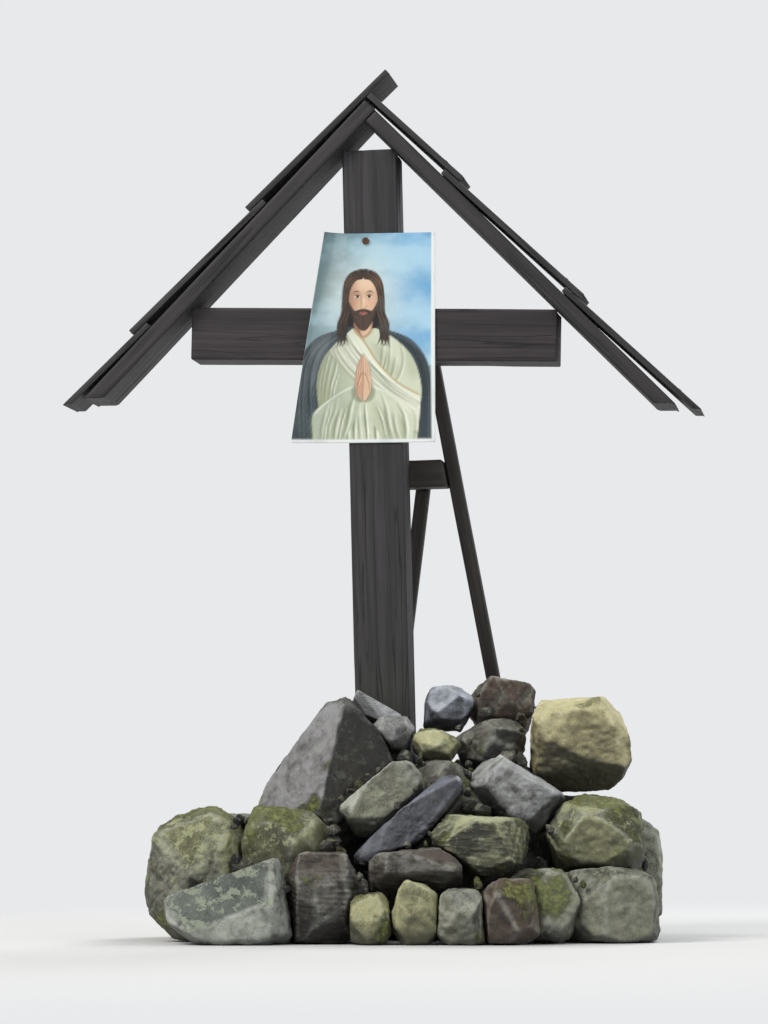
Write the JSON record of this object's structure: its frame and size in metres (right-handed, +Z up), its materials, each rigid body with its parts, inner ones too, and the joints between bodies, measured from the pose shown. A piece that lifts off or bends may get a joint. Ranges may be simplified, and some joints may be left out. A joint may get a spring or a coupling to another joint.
{
  "type": "wayside shrine",
  "caption": "Small roofed wooden wayside cross with a devotional picture, propped from behind in a heap of field stones.",
  "frame": {"origin": "centre of the post's foot, at floor level", "axes": "+Z up, +X to the right of someone facing the picture, -Y towards them"},
  "size_m": [0.9056, 0.6026, 1.2239],
  "materials": {
    "stained_wood": "dark stain, damp and weathered",
    "covering_wood": "dark stain, rough sawn",
    "field_stone": "rough, lichen and moss",
    "laminated_print": "clear laminate over a print",
    "nail_steel": "rusty"
  },
  "bodies": {
    "root": {"cover_left_1": "covering_wood", "cover_left_2": "covering_wood", "cover_left_3": "covering_wood", "cover_right_1": "covering_wood", "cover_right_2": "covering_wood", "cover_right_3": "covering_wood", "crossbar": "stained_wood", "picture_nail": "nail_steel", "picture_panel": "laminated_print", "post": "stained_wood", "prop_leg_left": "stained_wood", "prop_leg_right": "stained_wood", "prop_tie": "stained_wood", "roof_board_left": "stained_wood", "roof_board_right": "stained_wood", "stone_back_left": "field_stone", "stone_back_middle": "field_stone", "stone_back_right": "field_stone", "stone_bluish": "field_stone", "stone_brown": "field_stone", "stone_brown_small": "field_stone", "stone_core_front": "field_stone", "stone_core_right": "field_stone", "stone_dark_flat": "field_stone", "stone_dark_lower": "field_stone", "stone_dark_upper": "field_stone", "stone_diagonal_slab": "field_stone", "stone_foot_right": "field_stone", "stone_front_right": "field_stone", "stone_green_pebble": "field_stone", "stone_green_small": "field_stone", "stone_grey_ramp": "field_stone", "stone_grey_small": "field_stone", "stone_layered_slab": "field_stone", "stone_low_left": "field_stone", "stone_low_right": "field_stone", "stone_mossy_left": "field_stone", "stone_mossy_low_left": "field_stone", "stone_mossy_right": "field_stone", "stone_pyramid": "field_stone", "stone_round_cobble": "field_stone", "stone_square_block": "field_stone", "stone_wedge_slab": "field_stone", "stone_wet_splinter": "field_stone", "stone_yellow_green": "field_stone"}
  },
  "joints": []
}
